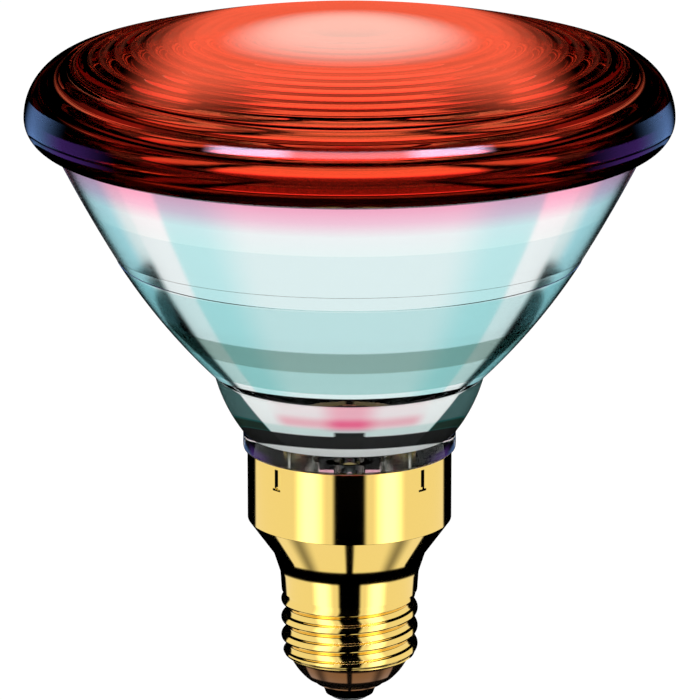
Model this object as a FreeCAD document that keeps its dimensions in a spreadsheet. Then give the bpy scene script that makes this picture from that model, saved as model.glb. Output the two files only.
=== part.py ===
"""Infrared reflector heat lamp with a ruby lens and a skirted brass screw cap, in millimetres.

The frame has its origin at the tip of the centre contact and +Z up the lamp's axis to the lens. The
turned outlines are sketched in the XZ plane and revolved, and every size is a cell of one spreadsheet.
"""

import FreeCAD, Part
import math
import os
import Sketcher
from FreeCAD import Placement, Rotation, Vector

doc = FreeCAD.newDocument("heat_lamp")
sheet = doc.addObject("Spreadsheet::Sheet", "Sizes")

SIZES = [
    # the end of the cap, from the tip of the contact up
    ("tip_height", 1.3, "the solder dome below the eyelet"),
    ("tip_radius", 4.4, "the solder dome"),
    ("tip_flat", 1.8, "its flat where it meets the holder's contact"),
    ("plate_height", 2.1, "the brass eyelet"),
    ("plate_radius", 5.5, "the eyelet at the glass"),
    ("plate_foot_radius", 4.8, "the eyelet at its lower face"),
    ("plate_hole_radius", 1.2, "the hole that the centre wire comes through"),
    ("insulator_drop", 6.15, "the black glass below the edge of the shell"),
    ("insulator_foot_radius", 6.6, "the flat end of the black glass"),
    ("insulator_hip_radius", 8.4, "where its end bulges out"),
    ("insulator_hip_height", 1.35, "the height of that bulge"),
    ("insulator_depth", 3.2, "how far the glass reaches up inside the shell"),
    ("insulator_mouth_radius", 5.0, "the hollow in the top of the glass"),
    # the screw shell
    ("thread_pitch", 3.629, "the round cap thread"),
    ("thread_crest", 13.15, "its outer radius"),
    ("thread_depth", 1.0, "from its crests to its valleys"),
    ("thread_length", 12.75, "from the edge of the shell to the collar"),
    ("thread_start", 1.6, "the taper of the thread below the collar"),
    ("thread_end", 0.9, "the taper of the thread above the edge"),
    ("thread_turned", 197.6, "the thread's turn round the axis, in degrees"),
    ("thread_margin", 0.1, "how far the thread's cutters reach past its crest and root"),
    ("shell_edge_step", 0.4, "how far the turned edge stands out from the valleys"),
    ("shell_edge_height", 0.5, "the turned edge of the shell"),
    ("shell_wall", 0.4, "the shell at the valleys of its thread"),
    ("sleeve_step", 0.38, "how far its plain end stands out from the valleys"),
    ("sleeve_length", 4.6, "the plain end of the shell inside the collar"),
    ("sleeve_show", 0.3, "the plain stretch left bare below the collar"),
    # the skirt
    ("brass_wall", 0.5, "the drawn skirt"),
    ("press_gap", 0.02, "between the collar and the sleeve"),
    ("collar_flare", 0.25, "how much wider it is at the cone"),
    ("collar_height", 5.9, "the collar"),
    ("collar_round", 7.0, "the hollow rounding between collar and cone"),
    ("cone_height", 8.6, "the cone"),
    ("skirt_radius", 19.5, "the wide part of the skirt"),
    ("skirt_height", 13.8, "the wide part of the skirt"),
    ("skirt_round", 2.5, "the rounding between cone and skirt"),
    ("crimp_count", 4, "the lanced slots that grip the glass"),
    ("crimp_width", 0.9, "a slot"),
    ("crimp_length", 4.2, "a slot"),
    ("crimp_foot", 2.0, "the short cross cut at its lower end"),
    ("crimp_drop", 0.7, "from the top edge to the slot"),
    # the glass body
    ("neck_gap", 0.05, "between the skirt and the glass neck"),
    ("neck_depth", 7.0, "how far the glass neck reaches into the skirt"),
    ("neck_wall", 3.75, "the glass neck inside the skirt"),
    ("neck_bevel", 0.8, "the lower edge of the neck"),
    ("floor_drop", 1.1, "the underside of the floor below the skirt's top edge"),
    ("floor_height", 3.9, "the glass floor"),
    ("shoulder_step", 0.8, "how far the shoulder stands out above the skirt"),
    ("shoulder_height", 3.7, "the shoulder above the skirt"),
    ("shoulder_bevel", 0.6, "the lower edge of the shoulder"),
    ("neck_bulge", 30.0, "the radius of the neck's side"),
    ("neck_height", 11.2, "from the shoulder to the crease"),
    ("crease_radius", 25.75, "where the neck meets the flank"),
    ("lower_flank_height", 23.2, "from the crease to the ledge"),
    ("lower_flank_bow", 121.0, "the radius of that flank"),
    ("ledge_radius", 44.25, "the ledge round the outside"),
    ("ledge_width", 0.6, "the ledge round the outside"),
    ("upper_flank_height", 22.15, "from the ledge to the seam"),
    ("upper_flank_bow", 280.0, "the radius of that flank"),
    ("seam_inset", 1.8, "how far the glass body stays inside the lens at the seam"),
    ("seam_wall", 3.59, "the glass body at the seam"),
    ("ledge_wall", 3.01, "the glass body just above the ledge"),
    ("crease_wall", 2.29, "from the crease in to the foot of the mirror"),
    ("focal_length", 12.35, "the paraboloid that the rings of the mirror follow"),
    ("vertex_rise", 0.95, "the paraboloid's vertex above the top of the shoulder"),
    ("mirror_foot_rise", 0.9, "the lower edge of the mirror above the crease"),
    ("well_mouth_radius", 17.5, "the well below the mirror"),
    ("well_mouth_drop", 1.9, "the step from the mirror down to the well"),
    ("well_floor_radius", 9.7, "the flat floor of the well"),
    ("well_corner", 1.3, "the bevel round the floor"),
    ("band_one_rise", 13.7, "the first ring of the mirror above the crease"),
    ("band_one_bulge", 1.07, "how far its edge stands out from the line from foot to ledge"),
    ("band_three_rise", 11.9, "the last ring of the mirror above the ledge"),
    ("band_three_bulge", 0.37, "how far its edge stands out from the line from ledge to seam"),
    # the lens
    ("lens_radius", 61.1, "the rim at its widest"),
    ("lens_tuck", 3.3, "how far the rim draws in below its widest"),
    ("lens_lip", 5.0, "the rounding of the rim below its widest"),
    ("lens_corner", 10.8, "the rounding of the rim above its widest"),
    ("lens_dome", 192.7, "the radius of the front"),
    ("lens_wall", 4.2, "the front"),
    ("rim_step", 0.49, "the step from the mirror out to the inside of the rim"),
    ("rim_draft", 0.4, "how much narrower the rim's inside is at the top"),
    ("lens_fillet", 5.0, "the bevel inside, between front and rim"),
    ("ring_pitch", 3.0, "from ring to ring of the pressed rings inside the front"),
    ("ring_depth", 0.5, "a ring"),
    ("ring_first", 20.5, "the least radius of the first ring"),
    ("lens_centre", 9.0, "the flat spot in the middle of the inside"),
    # the sealed-off tube
    ("tube_radius", 3.1, "the exhaust tube"),
    ("tube_bore", 2.0, "the exhaust tube"),
    ("tube_length", 8.5, "from the floor to the start of the tip"),
    ("tube_tip", 3.2, "the drawn-out tip"),
    ("tube_nib", 0.7, "the radius of the tip's end"),
    # the electrical parts inside
    ("ferrule_spread", 6.2, "each metal thimble from the axis"),
    ("ferrule_radius", 2.4, "a thimble"),
    ("ferrule_wall", 0.35, "a thimble"),
    ("ferrule_length", 8.2, "a thimble below its flange"),
    ("ferrule_flange", 3.0, "its flange on the floor"),
    ("braze_height", 1.5, "the slug that holds the post"),
    ("post_radius", 0.75, "a lead post"),
    ("post_straight", 5.0, "the straight foot of a post above the floor"),
    ("post_lean", 5.8, "how far a post leans out"),
    ("post_end", 1.4, "a post above the filament"),
    ("post_upright", 3.5, "the upright top of a post, where the coil is clamped"),
    ("post_bend", 1.5, "a post's bends"),
    ("filament_radius", 1.0, "the coil"),
    ("bead_radius", 1.6, "the glass bead between the posts"),
    ("bead_overhang", 1.6, "the bead beyond each post"),
    ("bead_rise", 2.2, "the bead above the floor"),
    ("support_radius", 0.35, "the hooked wire"),
    ("support_seat", 0.07, "its foot above the bead"),
    ("support_upright", 3.0, "its upright stretch beside the coil"),
    ("support_bend", 1.0, "its bend"),
    ("wire_radius", 0.4, "the wires to the contacts"),
    ("wire_bend", 3.0, "their bends"),
    ("wire_drop", 7.0, "their straight stretch below the thimbles"),
    ("wire_rise", 3.0, "the centre wire's straight stretch above the black glass"),
    ("side_wire_run", 5.0, "the side wire's straight stretch above the middle of its joint"),
    ("side_wire_end", 1.5, "the side wire below the middle of its joint"),
    ("side_wire_rise", 12.2, "the joint of the side wire above the edge of the shell"),
    ("wire_gap", 0.15, "between the side wire and the shell, filled by the joint"),
    ("solder_radius", 1.7, "the joint of the side wire"),
]
for row, (alias, number, meaning) in enumerate(SIZES, start=1):
    sheet.set(f"A{row}", alias)
    sheet.set(f"B{row}", str(number))
    sheet.setAlias(f"B{row}", alias)
    sheet.set(f"C{row}", meaning)
doc.recompute()


class Length:
    """A number with the spreadsheet expression that gives it, so a shape follows the sheet."""

    def __init__(self, value, text):
        self.value = float(value)
        self.text = text

    def joined(self, other, sign, value):
        text = other.text if isinstance(other, Length) else repr(other)
        return Length(value, f"({self.text} {sign} {text})")

    def __add__(self, other):
        return self.joined(other, "+", self.value + number_of(other))

    def __sub__(self, other):
        return self.joined(other, "-", self.value - number_of(other))

    def __mul__(self, other):
        return self.joined(other, "*", self.value * number_of(other))

    def __truediv__(self, other):
        return self.joined(other, "/", self.value / number_of(other))

    def __neg__(self):
        return Length(-self.value, f"(-{self.text})")


def number_of(thing):
    return thing.value if isinstance(thing, Length) else float(thing)


def root(length):
    return Length(math.sqrt(length.value), f"sqrt({length.text})")


def long_side(slope, leg):
    """The other leg of a right triangle with this hypotenuse and leg."""
    return root(slope * slope - leg * leg)


class Cells:
    """Every cell of the sheet as a Length, by its alias."""

    def __getattr__(self, alias):
        return Length(sheet.get(alias), f"Sizes.{alias}")


cell = Cells()
ZERO = Length(0, "0")

# heights of the stack, from the tip of the contact to the front
plate_z = cell.tip_height
glass_z = plate_z + cell.plate_height
shell_z = glass_z + cell.insulator_drop
collar_z = shell_z + cell.thread_length
cone_z = collar_z + cell.collar_height
skirt_z = cone_z + cell.cone_height
skirt_top = skirt_z + cell.skirt_height
shoulder_z = skirt_top + cell.shoulder_height
crease_z = shoulder_z + cell.neck_height
ledge_z = crease_z + cell.lower_flank_height
seam_z = ledge_z + cell.upper_flank_height
vertex_z = shoulder_z + cell.vertex_rise
filament_z = vertex_z + cell.focal_length
floor_under = skirt_top - cell.floor_drop
floor_z = floor_under + cell.floor_height
ferrule_x = cell.ferrule_spread

# radii, each from the piece that it meets
thread_root = cell.thread_crest - cell.thread_depth
shell_bore = thread_root - cell.shell_wall
shell_edge = thread_root + cell.shell_edge_step
sleeve_radius = thread_root + cell.sleeve_step
collar_radius = sleeve_radius + cell.press_gap + cell.brass_wall
neck_radius = cell.skirt_radius - cell.brass_wall - cell.neck_gap
shoulder_radius = cell.skirt_radius + cell.shoulder_step
lens_edge = cell.lens_radius - cell.lens_tuck
seam_radius = lens_edge - cell.seam_inset


def set_size(thing, prop, length):
    """Bind a property to the sheet."""
    thing.setExpression(prop, length.text)


def origin_plane(body, role):
    return next(item for item in body.Origin.OriginFeatures if item.Role == role)


def new_body(label):
    body = doc.addObject("PartDesign::Body", label)
    body.Label = label
    return body


def new_sketch(body, name, role="XZ_Plane"):
    sketch = body.newObject("Sketcher::SketchObject", name)
    sketch.AttachmentSupport = [(origin_plane(body, role), "")]
    sketch.MapMode = "FlatFace"
    return sketch


def fix_coordinate(sketch, edge, end, kind, length):
    """Hold one coordinate of an edge's end at a sheet length, or on the sketch's axis where it is zero."""
    if length.text == ZERO.text:
        axis = -2 if kind == "DistanceX" else -1
        sketch.addConstraint(Sketcher.Constraint("PointOnObject", edge, end, axis))
        return
    index = sketch.addConstraint(Sketcher.Constraint(kind, -1, 1, edge, end, length.value))
    sketch.setExpression(f"Constraints[{index}]", length.text)


def arc_between(start, end, radius, side):
    """The short arc from start to end, its centre on the left (side 1) or on the right (side -1)."""
    chord = end.sub(start)
    left = Vector(-chord.y, chord.x, 0).normalize()
    height = math.sqrt(radius**2 - (chord.Length / 2) ** 2)
    centre = (start + end) * 0.5 + left * (side * height)
    first, last = (start, end) if side > 0 else (end, start)
    angle_first = math.atan2(first.y - centre.y, first.x - centre.x)
    angle_last = math.atan2(last.y - centre.y, last.x - centre.x)
    if angle_last < angle_first:
        angle_last += 2 * math.pi
    circle = Part.Circle(centre, Vector(0, 0, 1), radius)
    return Part.ArcOfCircle(circle, angle_first, angle_last)


def outline(sketch, corners):
    """Draw a closed outline. A corner is (across, up) or (across, up, radius, side).

    The radius and side belong to the arc that leaves the corner. Every corner and every radius is bound
    to the sheet.
    """
    points = [Vector(corner[0].value, corner[1].value, 0) for corner in corners]
    base = sketch.GeometryCount
    ends = []
    for index, corner in enumerate(corners):
        start = points[index]
        end = points[(index + 1) % len(points)]
        if len(corner) == 2:
            sketch.addGeometry(Part.LineSegment(start, end), False)
            ends.append((1, 2))
        else:
            sketch.addGeometry(arc_between(start, end, corner[2].value, corner[3]), False)
            ends.append((1, 2) if corner[3] > 0 else (2, 1))
    for index in range(len(corners)):
        after = (index + 1) % len(corners)
        joint = (base + index, ends[index][1], base + after, ends[after][0])
        sketch.addConstraint(Sketcher.Constraint("Coincident", *joint))
    for index, corner in enumerate(corners):
        edge = base + index
        fix_coordinate(sketch, edge, ends[index][0], "DistanceX", corner[0])
        fix_coordinate(sketch, edge, ends[index][0], "DistanceY", corner[1])
        if len(corner) == 4:
            mark = sketch.addConstraint(Sketcher.Constraint("Radius", edge, corner[2].value))
            sketch.setExpression(f"Constraints[{mark}]", corner[2].text)


def add_circle(sketch, across, up, radius):
    """A circle bound to the sheet."""
    centre = Vector(across.value, up.value, 0)
    edge = sketch.addGeometry(Part.Circle(centre, Vector(0, 0, 1), radius.value), False)
    fix_coordinate(sketch, edge, 3, "DistanceX", across)
    fix_coordinate(sketch, edge, 3, "DistanceY", up)
    mark = sketch.addConstraint(Sketcher.Constraint("Radius", edge, radius.value))
    sketch.setExpression(f"Constraints[{mark}]", radius.text)


def revolve(body, sketch, axis="V_Axis"):
    """Turn a sketch once round one of its own axes."""
    turned = body.newObject("PartDesign::Revolution", f"{body.Name}_turned")
    turned.Profile = sketch
    turned.ReferenceAxis = (sketch, [axis])
    turned.Angle = 360
    doc.recompute()
    return turned


def turned_body(label, corners):
    """A body of revolution about the lamp's axis."""
    body = new_body(label)
    sketch = new_sketch(body, f"{label}_outline")
    outline(sketch, corners)
    revolve(body, sketch)
    return body


def cut_through(body, sketch, depth, reverse=False):
    """Pocket a sketch into the body and make sure that it took material away."""
    before = body.Shape.Volume
    pocket = body.newObject("PartDesign::Pocket", f"{sketch.Name}_cut")
    pocket.Profile = sketch
    pocket.Reversed = reverse
    set_size(pocket, "Length", depth)
    doc.recompute()
    if not body.Shape.Volume < before:
        raise RuntimeError(f"{sketch.Name} cuts nothing")
    return pocket


def make_lens():
    """The ruby front: a shallow dome, a thick rolled rim and pressed rings inside."""
    reach = cell.lens_radius - cell.lens_corner
    widest_z = seam_z + long_side(cell.lens_lip, cell.lens_lip - cell.lens_tuck)
    slope = cell.lens_dome - cell.lens_corner
    centre_z = widest_z - long_side(slope, reach)
    share = cell.lens_dome / slope
    inner_dome = cell.lens_dome - cell.lens_wall

    def inner_z(across):
        return centre_z + long_side(inner_dome, across)

    rim_bore = seam_radius - cell.seam_wall + cell.rim_step
    rim_top = rim_bore - cell.rim_draft
    fillet_start = rim_top - cell.lens_fillet
    corners = [
        (ZERO, centre_z + cell.lens_dome, cell.lens_dome, -1),
        (reach * share, centre_z + (widest_z - centre_z) * share, cell.lens_corner, -1),
        (cell.lens_radius, widest_z, cell.lens_lip, -1),
        (lens_edge, seam_z),
        (rim_bore, seam_z),
        (rim_top, inner_z(rim_top) - cell.lens_fillet),
        (fillet_start, inner_z(fillet_start)),
    ]
    room = fillet_start - cell.ring_first
    for ring in range(int(room.value / cell.ring_pitch.value)):
        foot = fillet_start - cell.ring_pitch * (ring + 1)
        peak = foot + cell.ring_pitch / 2
        corners.append((peak, inner_z(peak) + cell.ring_depth))
        corners.append((foot, inner_z(foot)))
    corners.append((cell.lens_centre, inner_z(cell.lens_centre)))
    corners.append((ZERO, inner_z(cell.lens_centre)))
    turned_body("lens", corners)


def corner_between(low, high, height, bulge):
    """A corner of the mirror at a height, by its bulge from the line between two others."""
    share = (height - low[1]) / (high[1] - low[1])
    return (low[0] + (high[0] - low[0]) * share + bulge, height)


def make_reflector():
    """The pressed clear body: a banded paraboloid over a well, with a neck for the cap."""
    neck_foot = skirt_top - cell.neck_depth
    neck_bore = neck_radius - cell.neck_wall
    mirror_foot = (cell.crease_radius - cell.crease_wall, crease_z + cell.mirror_foot_rise)
    mirror_ledge = (cell.ledge_radius - cell.ledge_width - cell.ledge_wall, ledge_z)
    mirror_seam = (seam_radius - cell.seam_wall, seam_z)
    band_one = corner_between(mirror_foot, mirror_ledge, crease_z + cell.band_one_rise, cell.band_one_bulge)
    band_three_z = ledge_z + cell.band_three_rise
    band_three = corner_between(mirror_ledge, mirror_seam, band_three_z, cell.band_three_bulge)
    corners = [
        (seam_radius, seam_z, cell.upper_flank_bow, -1),
        (cell.ledge_radius - cell.ledge_width, ledge_z),
        (cell.ledge_radius, ledge_z, cell.lower_flank_bow, -1),
        (cell.crease_radius, crease_z, cell.neck_bulge, -1),
        (shoulder_radius, shoulder_z),
        (shoulder_radius, skirt_top + cell.shoulder_bevel),
        (shoulder_radius - cell.shoulder_bevel, skirt_top),
        (neck_radius, skirt_top),
        (neck_radius, neck_foot + cell.neck_bevel),
        (neck_radius - cell.neck_bevel, neck_foot),
        (neck_bore, neck_foot),
        (neck_bore, floor_under),
        (ZERO, floor_under),
        (ZERO, floor_z),
        (cell.well_floor_radius, floor_z),
        (cell.well_floor_radius + cell.well_corner, floor_z + cell.well_corner),
        (cell.well_mouth_radius, mirror_foot[1] - cell.well_mouth_drop),
        mirror_foot,
        band_one,
        mirror_ledge,
        band_three,
        mirror_seam,
    ]
    body = turned_body("reflector", corners)
    holes = new_sketch(body, "floor_holes", "XY_Plane")
    add_circle(holes, ZERO, ZERO, cell.tube_bore)
    add_circle(holes, ferrule_x, ZERO, cell.ferrule_radius)
    add_circle(holes, -ferrule_x, ZERO, cell.ferrule_radius)
    doc.recompute()
    cut_through(body, holes, floor_z + cell.floor_height, reverse=True)


def make_exhaust_tube():
    """The tube that the lamp was filled through, drawn off to a tip under the floor."""
    shoulder = floor_under - cell.tube_length
    wall = cell.tube_radius - cell.tube_bore
    corners = [
        (cell.tube_radius, floor_under),
        (cell.tube_radius, shoulder),
        (cell.tube_nib, shoulder - cell.tube_tip),
        (ZERO, shoulder - cell.tube_tip),
        (ZERO, shoulder - cell.tube_tip + wall),
        (cell.tube_bore, shoulder),
        (cell.tube_bore, floor_under),
    ]
    turned_body("exhaust_tube", corners)


def make_cap_skirt():
    """The drawn skirt: collar, cone and wide sleeve, with slots lanced near its top edge."""
    wall = cell.brass_wall
    collar_top = collar_radius + cell.collar_flare
    run = cell.skirt_radius - collar_top
    rise = cell.cone_height
    slant = root(run * run + rise * rise)
    half_turn = run / (slant + rise)
    low = cell.collar_round * half_turn
    high = cell.skirt_round * half_turn
    fold = wall * half_turn
    corners = [
        (collar_radius, collar_z),
        (collar_top, cone_z - low, cell.collar_round, -1),
        (collar_top + run * low / slant, cone_z + rise * low / slant),
        (cell.skirt_radius - run * high / slant, skirt_z - rise * high / slant, cell.skirt_round, 1),
        (cell.skirt_radius, skirt_z + high),
        (cell.skirt_radius, skirt_top),
        (cell.skirt_radius - wall, skirt_top),
        (cell.skirt_radius - wall, skirt_z + fold),
        (collar_top - wall, cone_z + fold),
        (collar_radius - wall, collar_z),
    ]
    body = turned_body("cap_skirt", corners)

    slot = new_sketch(body, "crimp_slot")
    top = skirt_top - cell.crimp_drop
    foot = top - cell.crimp_length
    half = cell.crimp_width / 2
    wide = cell.crimp_foot / 2
    outline(
        slot,
        [
            (-half, top),
            (-half, foot + half),
            (-wide, foot + half),
            (-wide, foot),
            (wide, foot),
            (wide, foot + half),
            (half, foot + half),
            (half, top),
        ],
    )
    doc.recompute()
    cut = cut_through(body, slot, cell.skirt_radius + wall, reverse=False)
    pattern = body.newObject("PartDesign::PolarPattern", "crimp_slots")
    pattern.Originals = [cut]
    pattern.Axis = (slot, ["V_Axis"])
    pattern.Angle = 360
    set_size(pattern, "Occurrences", cell.crimp_count)
    body.Tip = pattern
    doc.recompute()
    body.Placement = Placement(Vector(), Rotation(Vector(0, 0, 1), 180 / cell.crimp_count.value))


def thread_radius(share):
    """The radius of the round thread at this share of the pitch from a crest: two equal arcs."""
    depth = cell.thread_depth
    quarter = cell.thread_pitch / 4
    arc = (quarter * quarter * 4 + depth * depth) / (depth * 4)
    if share <= 0.25:
        return cell.thread_crest - arc + long_side(arc, cell.thread_pitch * share)
    return thread_root + arc - long_side(arc, cell.thread_pitch * (0.5 - share))


def part_cylinder(name, radius, height, up):
    """A cylinder on the lamp's axis, from a height up."""
    round_bar = doc.addObject("Part::Cylinder", name)
    set_size(round_bar, "Radius", radius)
    set_size(round_bar, "Height", height)
    set_size(round_bar, "Placement.Base.z", up)
    return round_bar


def make_screw_shell():
    """The shell: a round helical thread in chords, a turned edge and a plain sleeve in the collar."""
    pitch = cell.thread_pitch
    sleeve_top = collar_z + cell.sleeve_length
    sleeve_foot = collar_z - cell.sleeve_show
    outside = cell.thread_crest + cell.thread_margin
    section = doc.addObject("Sketcher::SketchObject", "thread_section")
    section.Placement = Placement(Vector(), Rotation(Vector(1, 0, 0), 90))
    buried = thread_root - cell.thread_margin
    shares = (0.41, 0.25, 0.1)  # the corners of the chords, in pitches from the crest
    below = [(thread_radius(share), pitch * -share) for share in shares[1:]]
    above = [(thread_radius(share), pitch * share) for share in reversed(shares[1:])]
    foot = pitch * shares[0]
    outline(section, [(buried, -foot)] + below + above + [(buried, foot)])
    path = doc.addObject("Part::Helix", "thread_path")
    set_size(path, "Pitch", pitch)
    set_size(path, "Height", cell.thread_length + pitch * 2)
    set_size(path, "Radius", thread_root)
    path.SegmentLength = 1
    ridge = doc.addObject("Part::Sweep", "thread_ridge")
    ridge.Sections = [section]
    ridge.Spine = (path, [])
    ridge.Solid = True
    ridge.Frenet = True
    set_size(ridge, "Placement.Base.z", shell_z - pitch)
    ridge.Placement.Rotation = Rotation(Vector(0, 0, 1), cell.thread_turned.value)
    blank = doc.addObject("Part::MultiFuse", "shell_blank")
    blank.Shapes = [
        part_cylinder("shell_core", thread_root, sleeve_top - shell_z, shell_z),
        part_cylinder("shell_edge", shell_edge, cell.shell_edge_height, shell_z),
        part_cylinder("shell_sleeve", sleeve_radius, cell.sleeve_length + cell.sleeve_show, sleeve_foot),
        ridge,
    ]
    limits = turned_body(
        "shell_limits",
        [
            (ZERO, shell_z),
            (shell_edge, shell_z),
            (outside, shell_z + cell.thread_end),
            (outside, collar_z - cell.thread_start),
            (sleeve_radius, collar_z),
            (sleeve_radius, sleeve_top),
            (ZERO, sleeve_top),
        ],
    )
    trimmed = doc.addObject("Part::Common", "shell_outside")
    trimmed.Base = blank
    trimmed.Tool = limits
    shell = doc.addObject("Part::Cut", "screw_shell")
    shell.Label = "screw_shell"
    shell.Base = trimmed
    shell.Tool = part_cylinder("shell_hollow", shell_bore, sleeve_top - shell_z, shell_z)


def make_insulator():
    """The black glass that closes the shell and carries the eyelet."""
    top = shell_z + cell.insulator_depth
    corners = [
        (cell.plate_hole_radius, glass_z),
        (cell.insulator_foot_radius, glass_z),
        (cell.insulator_hip_radius, glass_z + cell.insulator_hip_height),
        (shell_bore, shell_z),
        (shell_bore, top),
        (cell.insulator_mouth_radius, top - cell.insulator_depth / 2),
        (cell.plate_hole_radius, top - cell.insulator_depth / 2),
    ]
    turned_body("insulator", corners)


def make_contact():
    """The brass eyelet under the glass and the solder dome that closes it."""
    eyelet = [
        (cell.plate_hole_radius, plate_z),
        (cell.plate_foot_radius, plate_z),
        (cell.plate_radius, glass_z),
        (cell.plate_hole_radius, glass_z),
    ]
    turned_body("contact_plate", eyelet)
    solder = [
        (ZERO, ZERO),
        (cell.tip_flat, ZERO),
        (cell.tip_radius, plate_z),
        (ZERO, plate_z),
    ]
    turned_body("tip_solder", solder)


def place_at(body, across, along=ZERO, up=ZERO):
    """Carry a body made about the lamp's axis to its place."""
    set_size(body, "Placement.Base.x", across)
    set_size(body, "Placement.Base.y", along)
    set_size(body, "Placement.Base.z", up)


def make_ferrule(name, across):
    """A metal thimble in the floor, and the slug that holds the post in it."""
    inner = cell.ferrule_radius - cell.ferrule_wall
    end = floor_z - cell.ferrule_length
    cup = [
        (ZERO, end),
        (cell.ferrule_radius, end),
        (cell.ferrule_radius, floor_z),
        (cell.ferrule_flange, floor_z),
        (cell.ferrule_flange, floor_z + cell.ferrule_wall),
        (inner, floor_z + cell.ferrule_wall),
        (inner, end + cell.ferrule_wall),
        (ZERO, end + cell.ferrule_wall),
    ]
    place_at(turned_body(f"ferrule_{name}", cup), across)
    slug = [
        (cell.post_radius, end + cell.ferrule_wall),
        (inner, end + cell.ferrule_wall),
        (inner, end + cell.ferrule_wall + cell.braze_height),
        (cell.post_radius, end + cell.ferrule_wall + cell.braze_height),
    ]
    place_at(turned_body(f"braze_{name}", slug), across)


def sweep_round(label, points, radius, bend, tail=()):
    """A round wire along straight runs with rounded bends, and then along the tail's edges."""
    edges = []
    start = points[0]
    for index in range(1, len(points) - 1):
        before = (points[index - 1] - points[index]).normalize()
        after = (points[index + 1] - points[index]).normalize()
        half_turn = before.getAngle(after) / 2
        setback = bend / math.tan(half_turn)
        middle = (before + after).normalize()
        arc_start = points[index] + before * setback
        arc_end = points[index] + after * setback
        arc_middle = points[index] + middle * (bend / math.sin(half_turn) - bend)
        edges.append(Part.LineSegment(start, arc_start).toShape())
        edges.append(Part.Arc(arc_start, arc_middle, arc_end).toShape())
        start = arc_end
    edges.append(Part.LineSegment(start, points[-1]).toShape())
    path = Part.Wire(edges + list(tail))
    direction = (points[1] - points[0]).normalize()
    ring = Part.Wire([Part.Circle(points[0], direction, radius).toShape()])
    wire = doc.addObject("Part::Feature", label)
    wire.Label = label
    wire.Shape = path.makePipeShell([ring], True, False)
    return wire


def make_post(name, side):
    """A stiff wire from the thimble to one end of the filament."""
    foot = floor_z.value - cell.ferrule_length.value + cell.ferrule_wall.value
    base = cell.ferrule_spread.value
    lean = cell.post_lean.value
    bend = floor_z.value + cell.post_straight.value
    tip = filament_z.value + cell.post_end.value
    near = tip - cell.post_upright.value
    points = [
        Vector(side * base, 0, foot),
        Vector(side * base, 0, bend),
        Vector(side * (base + lean), 0, near),
        Vector(side * (base + lean), 0, tip),
    ]
    sweep_round(f"lead_post_{name}", points, cell.post_radius.value, cell.post_bend.value)


def make_filament():
    """The coil between the posts, as the closed round form that its turns fill."""
    half = cell.ferrule_spread + cell.post_lean - cell.post_radius
    coil = doc.addObject("Part::Cylinder", "filament")
    coil.Label = "filament"
    set_size(coil, "Radius", cell.filament_radius)
    set_size(coil, "Height", half * 2)
    coil.Placement = Placement(Vector(), Rotation(Vector(0, 1, 0), 90))
    set_size(coil, "Placement.Base.x", -half)
    set_size(coil, "Placement.Base.z", filament_z)


def make_bead():
    """The glass bead that ties the posts and holds the support wire."""
    half = cell.ferrule_spread + cell.bead_overhang
    level = floor_z + cell.bead_rise
    body = new_body("support_bead")
    section = new_sketch(body, "bead_section", "YZ_Plane")
    add_circle(section, ZERO, level, cell.bead_radius)
    rod = body.newObject("PartDesign::Pad", "bead_rod")
    rod.Profile = section
    rod.Midplane = True
    set_size(rod, "Length", half * 2)
    doc.recompute()
    holes = new_sketch(body, "bead_holes", "XY_Plane")
    add_circle(holes, ferrule_x, ZERO, cell.post_radius)
    add_circle(holes, -ferrule_x, ZERO, cell.post_radius)
    doc.recompute()
    cut_through(body, holes, level + cell.bead_radius * 2, reverse=True)


def make_support():
    """The thin wire that stands in the bead and hooks over the middle of the filament."""
    thin = cell.support_radius.value
    hook = cell.filament_radius.value + thin
    foot = floor_z.value + cell.bead_rise.value + cell.bead_radius.value + cell.support_seat.value
    level = filament_z.value
    points = [
        Vector(0, 0, foot),
        Vector(0, hook, level - cell.support_upright.value),
        Vector(0, hook, level),
    ]
    over = Part.Arc(points[-1], Vector(0, 0, level + hook), Vector(0, -hook, level))
    sweep_round("filament_support", points, thin, cell.support_bend.value, [over.toShape()])


def make_wires():
    """The wires from the thimbles to the eyelet and to the inside of the shell."""
    ferrule_end = floor_z.value - cell.ferrule_length.value
    across = cell.ferrule_spread.value
    bend = cell.wire_bend.value
    drop = ferrule_end - cell.wire_drop.value
    glass_top = shell_z.value + cell.insulator_depth.value
    centre = [
        Vector(-across, 0, ferrule_end),
        Vector(-across, 0, drop),
        Vector(0, 0, glass_top + cell.wire_rise.value),
        Vector(0, 0, plate_z.value),
    ]
    sweep_round("centre_wire", centre, cell.wire_radius.value, bend)
    joint_z = shell_z.value + cell.side_wire_rise.value
    end_x = shell_bore.value - cell.wire_gap.value - cell.wire_radius.value
    side = [
        Vector(across, 0, ferrule_end),
        Vector(across, 0, drop),
        Vector(end_x, 0, joint_z + cell.side_wire_run.value),
        Vector(end_x, 0, joint_z - cell.side_wire_end.value),
    ]
    sweep_round("side_wire", side, cell.wire_radius.value, bend)


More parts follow.
